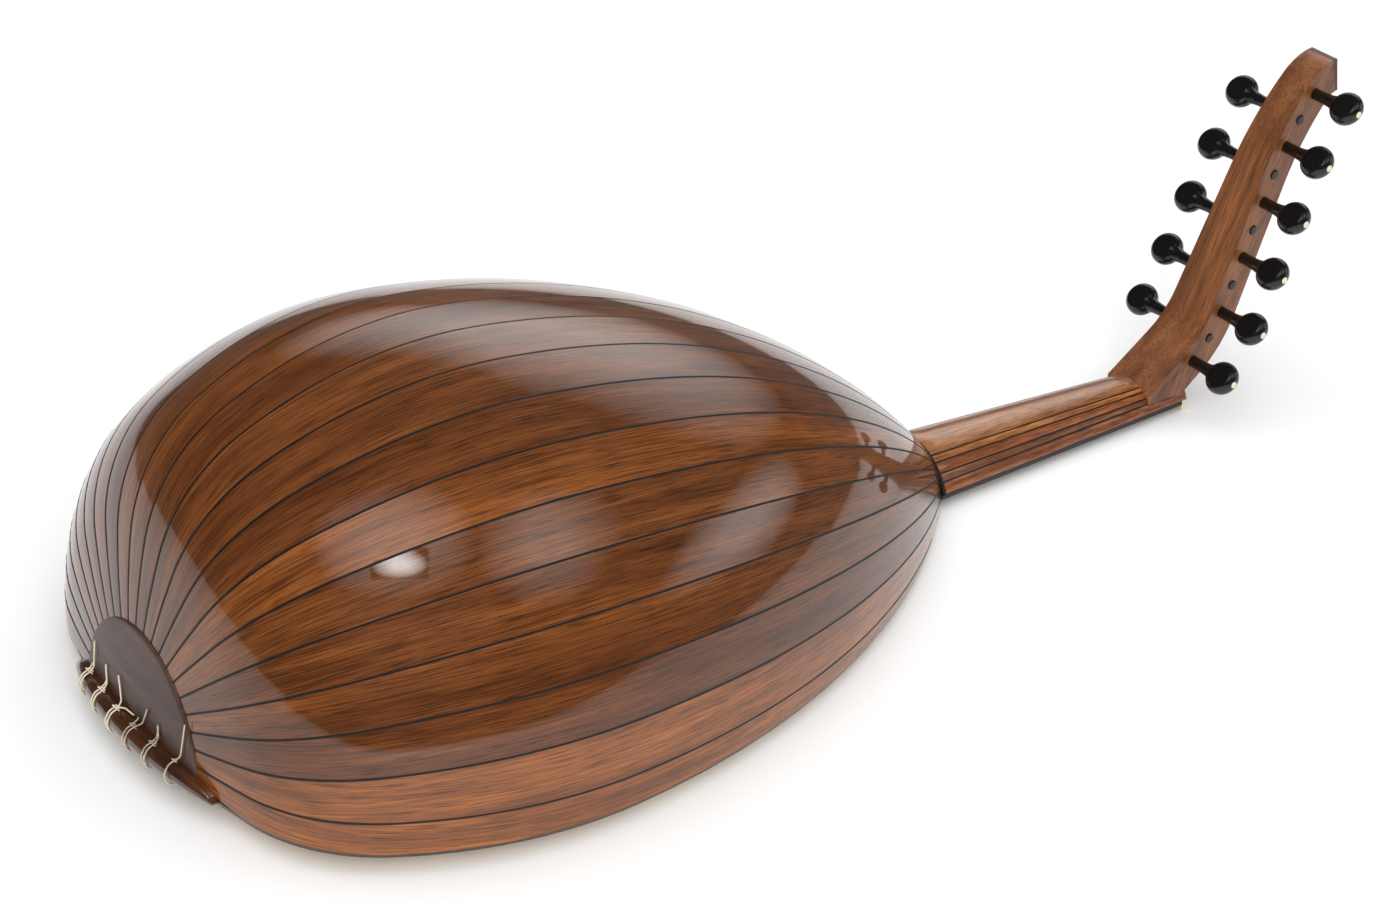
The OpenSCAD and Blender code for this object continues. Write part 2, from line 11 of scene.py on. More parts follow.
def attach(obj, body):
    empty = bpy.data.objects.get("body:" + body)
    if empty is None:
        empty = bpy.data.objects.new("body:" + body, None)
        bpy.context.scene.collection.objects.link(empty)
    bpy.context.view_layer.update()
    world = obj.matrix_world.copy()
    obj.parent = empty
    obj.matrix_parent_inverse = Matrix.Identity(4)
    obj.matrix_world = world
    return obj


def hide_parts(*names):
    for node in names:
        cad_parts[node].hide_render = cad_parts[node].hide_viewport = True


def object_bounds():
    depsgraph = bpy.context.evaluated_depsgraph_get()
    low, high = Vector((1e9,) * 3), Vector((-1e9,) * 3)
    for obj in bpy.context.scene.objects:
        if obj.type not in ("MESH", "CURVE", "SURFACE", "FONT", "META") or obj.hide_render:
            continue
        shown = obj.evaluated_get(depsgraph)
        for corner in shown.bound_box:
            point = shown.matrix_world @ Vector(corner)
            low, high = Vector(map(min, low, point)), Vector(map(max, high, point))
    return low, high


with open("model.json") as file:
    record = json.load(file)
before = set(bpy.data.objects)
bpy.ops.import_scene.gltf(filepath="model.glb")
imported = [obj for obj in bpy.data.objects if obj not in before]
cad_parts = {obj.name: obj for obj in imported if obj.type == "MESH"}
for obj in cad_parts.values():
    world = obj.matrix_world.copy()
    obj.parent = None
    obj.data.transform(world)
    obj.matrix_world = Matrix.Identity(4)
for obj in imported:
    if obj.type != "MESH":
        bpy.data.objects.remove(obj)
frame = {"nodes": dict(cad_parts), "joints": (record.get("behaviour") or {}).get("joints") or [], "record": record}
CAD_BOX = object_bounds()
RECORD = frame["record"]
NODES = frame["nodes"]

# ---- Driving sizes, in millimetres, in the instrument's own frame ----
# +X runs from the tail to the neck, +Y to the treble side, +Z from the soundboard's face into the bowl.

MM = 0.001
OUTLINE = ((98.3, 12.6), (75.7, 48.2), (131.2, 33.4), (362.0, 42.85))
BODY_L = 500.0
RIB_COUNT = 21
RIB_STEP = 9.0
RIB_T = 2.5
RIB_CROWN = 0.8
LINE_T = 1.2
AXIS_TAIL_Z = 9.0
AXIS_NECK_Z = -4.0
BOARD_T = 2.0
FIRST_STATION = 14.0
STATION_STEP = 7.0
TAIL_R = 447.0

BAR_HALF_L = 74.0
BAR_BEND_R = 300.0
BAR_W = 10.0
BAR_H = 12.0
CAP_HALF_W = 59.5
CAP_H = 61.0
CAP_T = 1.5

BRIDGE_X = 95.0
BRIDGE_TOP_Z = -11.05
BRIDGE_SPREAD = 76.0
TAIL_SPREAD = 94.0
NUT_SPREAD = 29.0
PAIR_GAP = 2.4
NUT_PAIR = 2.1
PEGBOX_PAIR = 1.8
STRING_COUNT = 11
WOUND_COUNT = 5
STRING_R = 0.45
STRING_BOW = 0.7
STRING_BRIDGE_Z = -9.3
STRING_NUT_Z = -2.7
NUT_END = (705.4, STRING_NUT_Z)
TUBE_SIDES = 10

NECK_END_X = 705.0
NECK_AXIS_JOINT_Z = -9.0
NECK_AXIS_NUT_Z = -2.4

PEGBOX_LINE = ((40.0, 0.0), (36.0, -30.5), (85.0, 0.0), (60.0, 18.5), (15.0, 35.5))
PEGBOX_START = (676.2, 2.7)
PEGBOX_HEADING = 38.0
PEGBOX_FOOT_W = 19.0
PEGBOX_SIDE_TAPER = 0.04
FIRST_PEG = 40.0
PEG_COUNT = 11
PEG_PITCH = 17.9
PEG_BACK = 1.5
PEG_R = 3.5
PEG_TAPER = 0.018
PEG_RING_OUT = 0.4
HEAD_OUT = 26.0
HEAD_D = 21.0
HEAD_T = 12.5
HEAD_TURN = 45.0
BEARING_PEG = 2
BEARING_GAP = 0.6
WINDING_GAP = 0.75
STRING_ORDER = (0, 2, 4, 6, 8, 10, 9, 7, 5, 3, 1)

JOINTS = {j["name"]: j for j in frame["joints"]}
MOUNTS = {m["name"]: m for m in RECORD["mounts"]}
ALONG = Vector(JOINTS["bridge_shift"]["axis"]).normalized()
UP = Vector((-ALONG.z, 0, ALONG.x))
ORIGIN = Vector(MOUNTS["rest_bridge"]["pos_m"]) - ALONG * BRIDGE_X * MM - UP * BRIDGE_TOP_Z * MM


# ---- Places ----

def direction(x, y, z):
    """A direction in the instrument's frame, turned into the row frame."""
    return ALONG * x + Vector((0, y, 0)) + UP * z


def at(x, y, z):
    """A point in the instrument's frame, in millimetres, as a point in the row frame."""
    return ORIGIN + direction(x, y, z) * MM


def path_point(path, start, heading, distance):
    """The point and heading at a distance along a path of straight and round stretches."""
    x, y = start
    for i, (length, turn) in enumerate(path):
        run = distance if i == len(path) - 1 else min(distance, length)
        here = math.radians(heading)
        part = turn * run / length
        after = math.radians(heading - part)
        if turn == 0:
            x += run * math.cos(here)
            y += run * math.sin(here)
        else:
            r = math.degrees(length) / turn
            x += r * (math.sin(here) - math.sin(after))
            y += r * (math.cos(after) - math.cos(here))
        heading -= part
        distance -= run
        if distance <= 0:
            break
    return (x, y), heading


def on_bowl(x, y, z):
    """A point given from the bowl's own axis, which slopes down to the neck."""
    slope = math.atan((AXIS_TAIL_Z - AXIS_NECK_Z) / BODY_L)
    c = math.cos(slope)
    s = math.sin(slope)
    return (x * c + z * s, y, AXIS_TAIL_Z - x * s + z * c)


def string_y(n, spread, pair):
    """Side place of string n where the outer courses are spread apart."""
    offset = 0 if n == 0 else (0.5 if n % 2 == 0 else -0.5) * pair
    course = (n + 1) // 2
    return (course / 5 - 0.5) * spread + offset


def pegbox_half_w(z):
    return PEGBOX_FOOT_W - PEGBOX_SIDE_TAPER * z


def peg_front(k, gap):
    """A point in the side view in front of a peg's axis by a gap."""
    (x, z), heading = path_point(PEGBOX_LINE, PEGBOX_START, PEGBOX_HEADING, FIRST_PEG + k * PEG_PITCH)
    a = math.radians(heading)
    return (x - (PEG_BACK - gap) * math.sin(a), z + (PEG_BACK - gap) * math.cos(a))


# ---- Meshes ----

def add_mesh(name, points, faces, uvs=None, material=None, sharp=35):
    """A smooth mesh object from points in the row frame, with one UV pair per point."""
    mesh = bpy.data.meshes.new(name)
    mesh.from_pydata([tuple(p) for p in points], [], faces)
    if uvs:
        layer = mesh.uv_layers.new(name="UVMap")
        for loop in mesh.loops:
            layer.data[loop.index].uv = uvs[loop.vertex_index]
    work = bmesh.new()
    work.from_mesh(mesh)
    bmesh.ops.recalc_face_normals(work, faces=work.faces)
    work.to_mesh(mesh)
    work.free()
    mesh.shade_smooth()
    mesh.set_sharp_from_angle(angle=math.radians(sharp))
    obj = bpy.data.objects.new(name, mesh)
    bpy.context.scene.collection.objects.link(obj)
    if material:
        mesh.materials.append(material)
    return obj


def loft(rings):
    """Faces between rings that have the same number of points, with both ends closed."""
    count = len(rings[0])
    faces = []
    for i in range(len(rings) - 1):
        for j in range(count):
            a = i * count + j
            b = i * count + (j + 1) % count
            faces.append((a, b, b + count, a + count))
    faces.append(tuple(range(count - 1, -1, -1)))
    last = (len(rings) - 1) * count
    faces.append(tuple(range(last, last + count)))
    return faces


def add_loft(name, rings, material, ring_uvs=None, sharp=35):
    points = [p for ring in rings for p in ring]
    uvs = [uv for ring in ring_uvs for uv in ring] if ring_uvs else None
    return add_mesh(name, points, loft(rings), uvs, material, sharp)


def rounded(points, radius, steps=5):
    """A route with each corner turned into a smooth bend that starts a radius away from it."""
    result = [points[0]]
    for before, corner, after in zip(points, points[1:], points[2:]):
        back = before - corner
        ahead = after - corner
        a = corner + back.normalized() * min(radius, back.length * 0.48)
        b = corner + ahead.normalized() * min(radius, ahead.length * 0.48)
        for i in range(steps + 1):
            t = i / steps
            result.append(a * (1 - t) ** 2 + corner * 2 * t * (1 - t) + b * t ** 2)
    result.append(points[-1])
    return result


def tube_rings(points, radius):
    """Rings of points round a route, turned as little as they can be from one to the next."""
    rings = []
    uvs = []
    across = None
    travelled = 0.0
    for i, p in enumerate(points):
        way = (points[min(i + 1, len(points) - 1)] - points[max(i - 1, 0)]).normalized()
        if across is None:
            across = way.cross(Vector((0.3, 1, 0.2))).normalized()
        across = (across - way * across.dot(way)).normalized()
        other = way.cross(across)
        if i:
            travelled += (p - points[i - 1]).length
        ring = []
        for j in range(TUBE_SIDES):
            a = 2 * math.pi * j / TUBE_SIDES
            ring.append(p + (across * math.cos(a) + other * math.sin(a)) * radius)
        rings.append(ring)
        uvs.append([(travelled, j / TUBE_SIDES) for j in range(TUBE_SIDES)])
    return rings, uvs


def add_tube(name, points, radius, material):
    rings, uvs = tube_rings(points, radius)
    return add_loft(name, rings, material, uvs, 60)


def place(obj, body, slot, *nodes):
    """Ties a piece to its body and hides the CAD nodes that it stands for; the material slot that it is given is
    not used.
    """
    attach(obj, body)
    if nodes:
        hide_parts(*nodes)
    return obj


# ---- Materials ----

def new_material(name):
    material = bpy.data.materials.new(name)
    material.use_nodes = True
    return material, material.node_tree, material.node_tree.nodes["Principled BSDF"]


def coordinates(tree, kind, cell, turn=(0, 0, 0)):
    """Coordinates in which a pattern's cells have the given size in metres, after a turn in degrees."""
    source = tree.nodes.new("ShaderNodeTexCoord")
    turned = tree.nodes.new("ShaderNodeMapping")
    turned.inputs["Rotation"].default_value = [math.radians(a) for a in turn]
    scaled = tree.nodes.new("ShaderNodeMapping")
    scaled.inputs["Scale"].default_value = [1 / c for c in cell]
    tree.links.new(source.outputs[kind], turned.inputs["Vector"])
    tree.links.new(turned.outputs["Vector"], scaled.inputs["Vector"])
    return scaled.outputs["Vector"]


def noise(tree, vector, detail=2.0, roughness=0.5, distortion=0.0):
    texture = tree.nodes.new("ShaderNodeTexNoise")
    texture.inputs["Scale"].default_value = 1
    texture.inputs["Detail"].default_value = detail
    texture.inputs["Roughness"].default_value = roughness
    texture.inputs["Distortion"].default_value = distortion
    tree.links.new(vector, texture.inputs["Vector"])
    return texture.outputs["Fac"]


def ramp(tree, value, stops, constant=False):
    """A colour ramp with (place, colour) stops."""
    node = tree.nodes.new("ShaderNodeValToRGB")
    if constant:
        node.color_ramp.interpolation = "CONSTANT"
    elements = node.color_ramp.elements
    while len(elements) < len(stops):
        elements.new(0.5)
    for element, (place_, colour) in zip(elements, stops):
        element.position = place_
        element.color = (*colour, 1)
    tree.links.new(value, node.inputs["Fac"])
    return node.outputs["Color"]


def blend_colours(tree, how, amount, first, second):
    node = tree.nodes.new("ShaderNodeMix")
    node.data_type = "RGBA"
    node.blend_type = how
    for value, socket in ((amount, node.inputs[0]), (first, node.inputs[6]), (second, node.inputs[7])):
        if isinstance(value, bpy.types.NodeSocket):
            tree.links.new(value, socket)
        else:
            socket.default_value = value
    return node.outputs[2]


def grey(value):
    return (value, value, value)


def wood(name, dark, light, kind="UV", turn=(0, 0, 0), along=1.0, streak=0.55, pore=0.6, tones=None):
    """Wood with its grain along the first coordinate: broad bands, fine streaks and short dark pores."""
    material, tree, shader = new_material(name)
    bands = noise(tree, coordinates(tree, kind, (0.16 * along, 0.011, 0.011), turn), 3, 0.55, 0.4)
    streaks = noise(tree, coordinates(tree, kind, (0.05 * along, 0.0008, 0.0008), turn), 3, 0.55, 0.2)
    pores = noise(tree, coordinates(tree, kind, (0.02 * along, 0.0006, 0.0006), turn), 2, 0.5)
    base = ramp(tree, bands, ((0.3, dark), (0.68, light)))
    fine = ramp(tree, streaks, ((0.34, grey(1 - streak)), (0.6, grey(1.0))))
    colour = blend_colours(tree, "MULTIPLY", 1.0, base, fine)
    marks = ramp(tree, pores, ((0.34, grey(1 - pore)), (0.48, grey(1.0))))
    colour = blend_colours(tree, "MULTIPLY", 1.0, colour, marks)
    if tones:
        colour = blend_colours(tree, "MULTIPLY", 1.0, colour, tones(tree))
    tree.links.new(colour, shader.inputs["Base Color"])
    bump = tree.nodes.new("ShaderNodeBump")
    bump.inputs["Strength"].default_value = 0.12
    bump.inputs["Distance"].default_value = 0.0002
    tree.links.new(pores, bump.inputs["Height"])
    tree.links.new(bump.outputs["Normal"], shader.inputs["Normal"])
    return material, shader


def finish_surface(shader, roughness, coat=0.0, coat_roughness=0.05, specular=0.5):
    shader.inputs["Roughness"].default_value = roughness
    shader.inputs["Specular IOR Level"].default_value = specular
    shader.inputs["Coat Weight"].default_value = coat
    shader.inputs["Coat Roughness"].default_value = coat_roughness


def rib_tones(tree):
    """Each rib's own tone, from its mesh."""
    tone = tree.nodes.new("ShaderNodeAttribute")
    tone.attribute_name = "tone"
    stops = ((0.0, (0.62, 0.55, 0.5)), (0.5, (0.95, 0.93, 0.9)), (1.0, (1.6, 1.56, 1.3)))
    return ramp(tree, tone.outputs["Fac"], stops)


def rib_walnut():
    material, shader = wood("rib_walnut", (0.1, 0.028, 0.006), (0.25, 0.08, 0.018), tones=rib_tones)
    finish_surface(shader, 0.4, 1.0, 0.04, 0.1)
    return material


def stave_tones(tree):
    """A tone for each of the neck's staves, by the angle round the neck's axis."""
    source = tree.nodes.new("ShaderNodeTexCoord")
    split = tree.nodes.new("ShaderNodeSeparateXYZ")
    tree.links.new(source.outputs["Object"], split.inputs[0])
    joint = at(BODY_L, 0, NECK_AXIS_JOINT_Z)
    end = at(NECK_END_X, 0, NECK_AXIS_NUT_Z)
    fall = tree.nodes.new("ShaderNodeMapRange")
    fall.clamp = False
    for name, value in (("From Min", joint.x), ("From Max", end.x), ("To Min", joint.z), ("To Max", end.z)):
        fall.inputs[name].default_value = value
    tree.links.new(split.outputs[0], fall.inputs["Value"])
    height = tree.nodes.new("ShaderNodeMath")
    height.operation = "SUBTRACT"
    tree.links.new(split.outputs[2], height.inputs[0])
    tree.links.new(fall.outputs["Result"], height.inputs[1])
    angle = tree.nodes.new("ShaderNodeMath")
    angle.operation = "ARCTAN2"
    tree.links.new(height.outputs[0], angle.inputs[0])
    tree.links.new(split.outputs[1], angle.inputs[1])
    part = tree.nodes.new("ShaderNodeMath")
    part.operation = "DIVIDE"
    part.inputs[1].default_value = math.pi
    tree.links.new(angle.outputs[0], part.inputs[0])
    red = (0.95, 0.68, 0.55)
    brown = (0.7, 0.6, 0.58)
    russet = (1.05, 0.78, 0.7)
    orange = (1.6, 1.5, 1.1)
    edges = (0, 33, 42, 54, 63, 117, 126, 138, 147)
    tones = (red, brown, russet, orange, grey(1.25), orange, russet, brown, red)
    stops = [(edge / 180, tone) for edge, tone in zip(edges, tones)]
    return ramp(tree, part.outputs[0], stops, True)


def neck_walnut():
    dark = (0.16, 0.05, 0.013)
    light = (0.36, 0.14, 0.035)
    material, shader = wood("neck_walnut", dark, light, "Object", tones=stave_tones)
    finish_surface(shader, 0.34, 0.5, 0.12)
    return material


def pegbox_walnut():
    dark = (0.14, 0.043, 0.012)
    light = (0.34, 0.12, 0.036)
    turn = (0, 66, 0)
    material, shader = wood("pegbox_walnut", dark, light, "Object", turn, 1.0, 0.45, 0.5)
    finish_surface(shader, 0.42, 0.25, 0.2)
    return material


def dark_wood(name, dark, light, roughness, coat, coat_roughness, turn=(0, 0, 90)):
    material, shader = wood(name, dark, light, "Object", turn, 0.7, 0.4, 0.3)
    finish_surface(shader, roughness, coat, coat_roughness)
    return material


def plain(name, colour, roughness, coat=0.0, coat_roughness=0.05, metallic=0.0):
    material, _, shader = new_material(name)
    shader.inputs["Base Color"].default_value = (*colour, 1)
    shader.inputs["Metallic"].default_value = metallic
    finish_surface(shader, roughness, coat, coat_roughness)
    return material


def spruce():
    dark = (0.62, 0.4, 0.2)
    light = (0.74, 0.53, 0.3)
    material, shader = wood("spruce", dark, light, "Object", (0, 0, 0), 3.0, 0.22, 0.12)
    finish_surface(shader, 0.5, 0.1, 0.3)
    return material


def inner_wood():
    dark = (0.52, 0.36, 0.2)
    light = (0.68, 0.5, 0.3)
    material, shader = wood("inner_wood", dark, light, "Object", (0, 0, 0), 1.0, 0.15, 0.1)
    finish_surface(shader, 0.7)
    return material


def wound_string():
    """Silvered winding on silk, whose turns show as fine rings."""
    material, tree, shader = new_material("string_wound")
    shader.inputs["Base Color"].default_value = (0.72, 0.62, 0.45, 1)
    shader.inputs["Metallic"].default_value = 0.7
    rings = tree.nodes.new("ShaderNodeTexWave")
    rings.inputs["Scale"].default_value = 1
    tree.links.new(coordinates(tree, "UV", (0.006, 1, 1)), rings.inputs["Vector"])
    bump = tree.nodes.new("ShaderNodeBump")
    bump.inputs["Strength"].default_value = 0.4
    bump.inputs["Distance"].default_value = 0.0001
    tree.links.new(rings.outputs["Fac"], bump.inputs["Height"])
    tree.links.new(bump.outputs["Normal"], shader.inputs["Normal"])
    finish_surface(shader, 0.35)
    return material


MATERIALS = {
    "rib_walnut": rib_walnut(),
    "neck_walnut": neck_walnut(),
    "pegbox_walnut": pegbox_walnut(),
    "black_line": plain("black_line", (0.004, 0.003, 0.003), 0.6),
    "cap_rosewood": dark_wood("cap_rosewood", (0.05, 0.022, 0.016), (0.09, 0.042, 0.03), 0.6, 0.3, 0.2),
    "bar_rosewood": dark_wood("bar_rosewood", (0.028, 0.009, 0.004), (0.12, 0.035, 0.01), 0.3, 1.0, 0.06),
    "guard_rosewood": dark_wood(
        "guard_rosewood", (0.05, 0.02, 0.012), (0.09, 0.042, 0.026), 0.4, 0.3, 0.1, (0, 0, 0)),
    "binding_ebony": plain("binding_ebony", (0.03, 0.014, 0.009), 0.35, 0.8, 0.06),
    "board_ebony": plain("board_ebony", (0.014, 0.009, 0.008), 0.5),
    "peg_ebony": plain("peg_ebony", (0.005, 0.004, 0.004), 0.26, 0.1, 0.15),
    "spruce": spruce(),
    "inner_wood": inner_wood(),
    "rose_bone": plain("rose_bone", (0.74, 0.64, 0.46), 0.5),
    "bone": plain("bone", (0.8, 0.7, 0.52), 0.35, 0.2, 0.1),
    "string_wound": wound_string(),
    "string_nylon": plain("string_nylon", (0.78, 0.68, 0.5), 0.35, 0.3, 0.1),
}


def dress_cad_nodes():
    """The CAD nodes' own slots, a small rounding of their edges and smooth round faces."""
    for subpart in RECORD["subparts"]:
        obj = NODES[subpart["node"]]
        obj.data.materials.clear()
        obj.data.materials.append(MATERIALS[subpart["material_slot"]])
        weld = obj.modifiers.new("weld", "WELD")
        weld.merge_threshold = 0.00001
        bevel = obj.modifiers.new("bevel", "BEVEL")
        bevel.width = 0.00035
        bevel.segments = 2
        bevel.limit_method = "ANGLE"
        bevel.angle_limit = math.radians(40)
        bevel.harden_normals = True


# ---- Bowl ----

def rib_angle(k):
    return 90 + (k - (RIB_COUNT - 1) / 2) * RIB_STEP


def outline_length():
    return sum(length for length, _ in OUTLINE)


def bowl_point(distance, angle, side_w, depth):
    """A point of the bowl: at a distance along the outline, beside the plane at an angle, below its skin."""
    (x, r), heading = path_point(OUTLINE, (0.0, 0.0), 90.0, distance)
    a = math.radians(heading)
    round_r = r / math.cos(math.radians(RIB_STEP / 2))
    rise = RIB_CROWN * (math.sqrt(max(round_r ** 2 - side_w ** 2, 0)) - r) - depth
    x -= rise * math.sin(a)
    r += rise * math.cos(a)
    turn = math.radians(angle)
    y = r * math.cos(turn) - side_w * math.sin(turn)
    z = r * math.sin(turn) + side_w * math.cos(turn)
    return on_bowl(x, y, z)


def clipped_range(distance, angle, low, high):
    """The part of a width that lies above the soundboard's inner face."""
    middle_z = bowl_point(distance, angle, 0, 0)[2]
    slope = math.cos(math.radians(angle))
    if abs(slope) < 0.2:
        return low, high
    limit = (BOARD_T - middle_z) / slope
    if slope > 0:
        return max(low, limit), high
    return low, min(high, limit)


def rib_stations():
    """Distances along the outline at which the ribs have a section."""
    total = outline_length()
    count = int(total / STATION_STEP)
    return [FIRST_STATION + (total - FIRST_STATION) * i / count for i in range(count + 1)]


def rib_section(distance, angle, low, high, across):
    outer = []
    uvs = []
    for j in range(across):
        w = low + (high - low) * j / (across - 1)
        outer.append(at(*bowl_point(distance, angle, w, 0)))
        uvs.append(w)
    inner = []
    for j in range(across - 1, -1, -1):
        w = low + (high - low) * j / (across - 1)
        inner.append(at(*bowl_point(distance, angle, w * 0.995, RIB_T)))
        uvs.append(w)
    return outer + inner, uvs


def add_rib(k):
    """One rib, with the next rib's grain starting somewhere else in the plank."""
    angle = rib_angle(k)
    rings = []
    ring_uvs = []
    for distance in rib_stations():
        r = path_point(OUTLINE, (0.0, 0.0), 90.0, distance)[0][1]
        half = r * math.tan(math.radians(RIB_STEP / 2)) - LINE_T / 2
        low, high = clipped_range(distance, angle, -half, half)
        if high - low < 0.3:
            continue
        ring, widths = rib_section(distance, angle, low, high, 9)
        rings.append(ring)
        ring_uvs.append([(distance * MM + k * 1.37, w * MM + k * 0.61) for w in widths])
    obj = add_loft(f"rib_{k + 1:02d}_plank", rings, MATERIALS["rib_walnut"], ring_uvs)
    tone = 0.42 + 0.2 * math.sin(k * 2.3 + 0.6) + 0.12 * math.sin(k * 5.1)
    if k > RIB_COUNT - 3:
        tone += 0.5
    layer = obj.data.attributes.new("tone", "FLOAT", "POINT")
    for item in layer.data:
        item.value = tone
    return place(obj, "instrument", "rib_walnut", f"rib_{k + 1:02d}")


def add_rib_line(k):
    """The black strip between two ribs, flush with both."""
    angle = rib_angle(k) + RIB_STEP / 2
    rings = []
    for distance in rib_stations():
        low, high = clipped_range(distance, angle, -LINE_T / 2, LINE_T / 2)
        if high - low < 0.5 * LINE_T:
            continue
        ring = []
        r = path_point(OUTLINE, (0.0, 0.0), 90.0, distance)[0][1]
        seam = r * (1 / math.cos(math.radians(RIB_STEP / 2)) - 1)
        for w, depth in ((low, 0), (0.5 * (low + high), -0.03), (high, 0), (high, RIB_T), (low, RIB_T)):
            ring.append(at(*bowl_point(distance, angle, w, depth - seam * (1 - RIB_CROWN))))
        rings.append(ring)
    obj = add_loft(f"rib_line_{k + 1:02d}", rings, MATERIALS["black_line"])
    return place(obj, "instrument", "black_line", "rib_purfling")


def tail_x(y, z, out):
    """How far along the bowl's tail lies at a side place and height, when moved out by an offset."""
    cx, _, cz = on_bowl(TAIL_R, 0, 0)
    return cx - math.sqrt((TAIL_R + out) ** 2 - y * y - (z - cz) ** 2)


def add_tail_cap():
    """The half-oval cap over the rib ends, with a rolled edge."""
    points = []
    uvs = []
    steps = 72
    profile = [(share, CAP_T + 0.1) for share in (0.03, 0.3, 0.6, 0.85)]
    profile += [(0.96, CAP_T + 0.08), (0.98, CAP_T), (0.992, CAP_T * 0.8), (0.999, CAP_T * 0.5)]
    profile += [(1.0, 0.2), (0.999, -0.6), (0.9, -0.6)]
    for share, out in profile:
        for i in range(steps + 1):
            a = math.pi * i / steps
            y = share * CAP_HALF_W * math.cos(a)
            z = 0.5 + share * CAP_H * math.sin(a)
            points.append(at(tail_x(y, z, out), y, z))
            uvs.append((y * MM, z * MM))
    faces = []
    row = steps + 1
    for s in range(len(profile) - 1):
        for i in range(steps):
            a = s * row + i
            faces.append((a, a + 1, a + 1 + row, a + row))
    faces.append(tuple(range(row)))
    obj = add_mesh("tail_cap_plate", points, faces, uvs, MATERIALS["cap_rosewood"], 50)
    return place(obj, "instrument", "cap_rosewood", "tail_cap")


def bar_front(y):
    """How far along the instrument the tail bar's front lies at a side place."""
    return BAR_BEND_R - BAR_W - CAP_T - math.sqrt(BAR_BEND_R ** 2 - y * y)


def add_tail_bar():
    """The half-round bar that the strings are tied to, tapering to its rounded ends."""
    rings = []
    stations = 72
    for i in range(stations + 1):
        t = -math.cos(math.pi * i / stations)
        y = t * BAR_HALF_L
        size = (1 - abs(t) ** 5) ** 0.5 * (1 - 0.2 * t * t)
        size = max(size, 0.03)
        height = BAR_H * size
        back = tail_x(y, 4, -0.6)
        depth = (back - bar_front(y)) * (0.35 + 0.65 * size)
        ring = []
        for j in range(17):
            a = math.pi * (j / 16 - 0.5)
            round_depth = height / 2 * math.cos(a)
            z = 0.2 + height / 2 + height / 2 * math.sin(a)
            ring.append(at(back - depth + height / 2 - round_depth, y, z))
        ring.append(at(back, y, 0.2 + height))
        ring.append(at(back, y, 0.2))
        rings.append(ring)
    obj = add_loft("tail_bar_wood", rings, MATERIALS["bar_rosewood"], None, 50)
    return place(obj, "instrument", "bar_rosewood", "tail_bar")


# ---- Pegs ----

def peg_frame(k):
    """A peg's middle of the entering cheek, its way in through the pegbox, and its hand."""
    x, z = peg_front(k, 0)
    hand = -1 if k % 2 == 0 else 1
    return (x, hand * pegbox_half_w(z), z), hand


def peg_point(k, along_axis, radius, angle):
    """A point round a peg's axis. Angle 0 is towards the neck side of the head's flat."""
    (x, y, z), hand = peg_frame(k)
    a = math.radians(angle)
    return at(x + radius * math.cos(a), y - hand * along_axis, z + radius * math.sin(a))


def peg_shaft_rings(k):
    through = 2 * pegbox_half_w(peg_front(k, 0)[1]) + 0.8
    ring_r = PEG_R + PEG_RING_OUT
    profile = [(-19.5, 6.2), (-18.2, 5.5), (-16.8, 4.9), (-15, 4.4), (-13.4, 4.0)]
    profile += [(-13, ring_r), (-11.6, ring_r), (-11.3, PEG_R + 11.3 * PEG_TAPER), (0, PEG_R)]
    profile += [(through - 0.4, PEG_R - (through - 0.4) * PEG_TAPER)]
    profile += [(through - 0.1, PEG_R - through * PEG_TAPER - 0.15)]
    profile += [(through, PEG_R - through * PEG_TAPER - 0.6)]
    sides = 32
    return [[peg_point(k, s, r, 360 * j / sides) for j in range(sides)] for s, r in profile]


def head_profile():
    """(radius, half thickness) of the head from a flat's dished middle out to the rim."""
    rim = HEAD_D / 2
    edge = HEAD_T / 2 * 0.86
    dish = HEAD_T / 2 * 0.8
    result = [(0.15, dish)]
    for i in range(1, 7):
        t = i / 6
        result.append((6.4 * t, dish + (edge - dish) * t * t * (3 - 2 * t)))
    for i in range(1, 9):
        a = math.pi / 2 * i / 8
        result.append((6.4 + (rim - 6.4) * math.sin(a), edge * math.cos(a)))
    return result


def peg_head_rings(k):
    """Rings round the middle of the head's flats, which face up and towards the tail."""
    (x, y, z), hand = peg_frame(k)
    turn = math.radians(90 + HEAD_TURN)
    facing = Vector((math.cos(turn), 0, math.sin(turn)))
    across = Vector((-math.sin(turn), 0, math.cos(turn)))
    outward = Vector((0, hand, 0))
    centre = Vector((x, y, z)) + outward * HEAD_OUT
    half = head_profile()
    rings = []
    for side_sign, rows in ((1, half), (-1, half[-2::-1])):
        for r, thick in rows:
            ring = []
            for j in range(40):
                a = 2 * math.pi * j / 40
                p = centre + (across * math.cos(a) + outward * math.sin(a)) * r + facing * thick * side_sign
                ring.append(at(p.x, p.y, p.z))
            rings.append(ring)
    return rings


def add_peg(k):
    points = []
    faces = []
    for rings in (peg_shaft_rings(k), peg_head_rings(k)):
        start = len(points)
        points += [p for ring in rings for p in ring]
        faces += [tuple(start + i for i in face) for face in loft(rings)]
    name = f"peg_{k + 1:02d}"
    obj = add_mesh(name + "_turned", points, faces, None, MATERIALS["peg_ebony"], 50)
    place(obj, name, "peg_ebony", name)
    add_pip(k)
    add_winding(k)
    return obj


def add_pip(k):
    """The small bone dot at the outer end of a peg's head."""
    rim = -HEAD_OUT - HEAD_D / 2
    profile = [(rim + 1.2, 2.1), (rim + 0.25, 2.1), (rim - 0.05, 1.9), (rim - 0.3, 1.2), (rim - 0.38, 0.3)]
    rings = [[peg_point(k, s, r, 15 * j) for j in range(24)] for s, r in profile]
    obj = add_loft(f"peg_{k + 1:02d}_pip", rings, MATERIALS["bone"], None, 60)
    return place(obj, f"peg_{k + 1:02d}", "bone")


